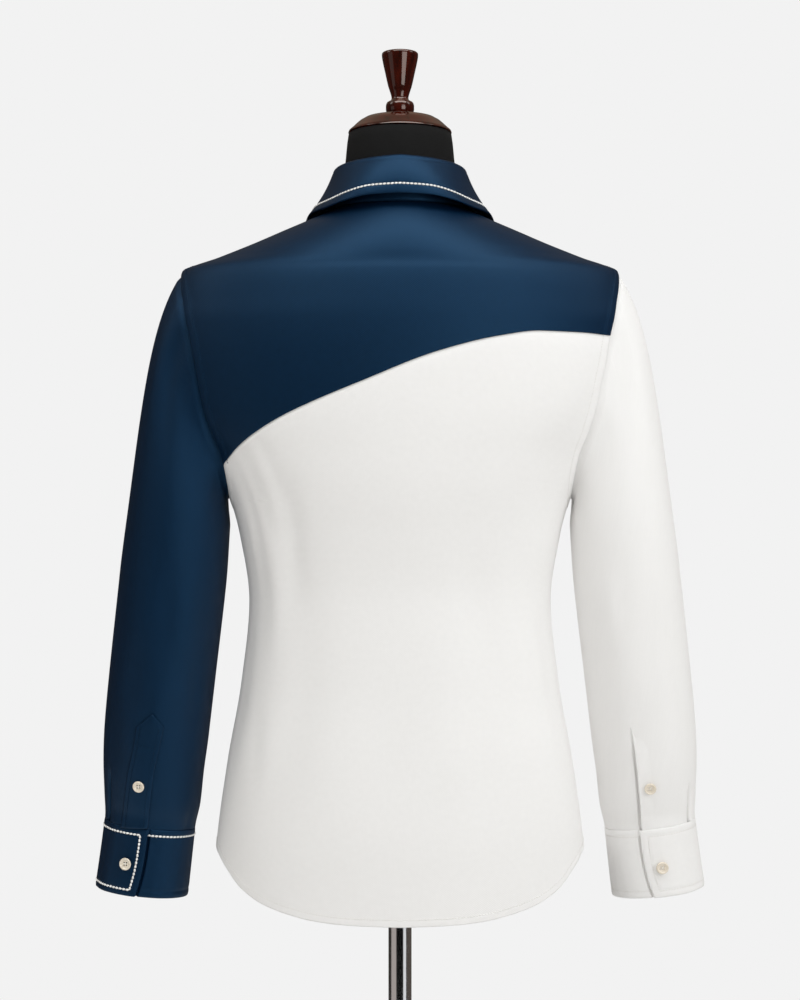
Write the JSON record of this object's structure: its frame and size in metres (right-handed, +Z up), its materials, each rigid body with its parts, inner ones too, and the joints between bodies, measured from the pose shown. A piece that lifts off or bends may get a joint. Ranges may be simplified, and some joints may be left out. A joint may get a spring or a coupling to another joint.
{
  "type": "shirt jacket on a dress form",
  "caption": "Long-sleeved shirt jacket with a dark yoke, collar and one dark sleeve over a pale body, worn by a limbless dress form on a post and round base.",
  "frame": {"origin": "centre of the flat underside of the stand's round base, on the floor", "axes": "+Z up through the form; the garment's front faces -Y and its back +Y; the wearer's left is +X"},
  "size_m": [0.6381, 0.34, 1.6158],
  "materials": {
    "dark_twill": "matte",
    "pale_twill": "matte",
    "button_plastic": "gloss",
    "black_jersey": "matte",
    "dark_wood": "gloss",
    "chromed_steel": "polished"
  },
  "bodies": {
    "root": {"back": "pale_twill", "button_cuff_left": "button_plastic", "button_cuff_right": "button_plastic", "button_front_1": "button_plastic", "button_front_2": "button_plastic", "button_front_3": "button_plastic", "button_front_4": "button_plastic", "button_front_5": "button_plastic", "button_front_6": "button_plastic", "button_front_7": "button_plastic", "button_sleeve_left": "button_plastic", "button_sleeve_right": "button_plastic", "collar_leaf": "dark_twill", "collar_stand": "dark_twill", "cuff_left": "dark_twill", "cuff_right": "pale_twill", "form_base": "chromed_steel", "form_bust": "black_jersey", "form_finial": "dark_wood", "form_neck_cap": "dark_wood", "form_post": "chromed_steel", "front_left": "pale_twill", "front_placket": "pale_twill", "front_right": "pale_twill", "sleeve_left": "dark_twill", "sleeve_placket_left": "dark_twill", "sleeve_placket_right": "pale_twill", "sleeve_right": "pale_twill", "yoke": "dark_twill"}
  },
  "joints": []
}
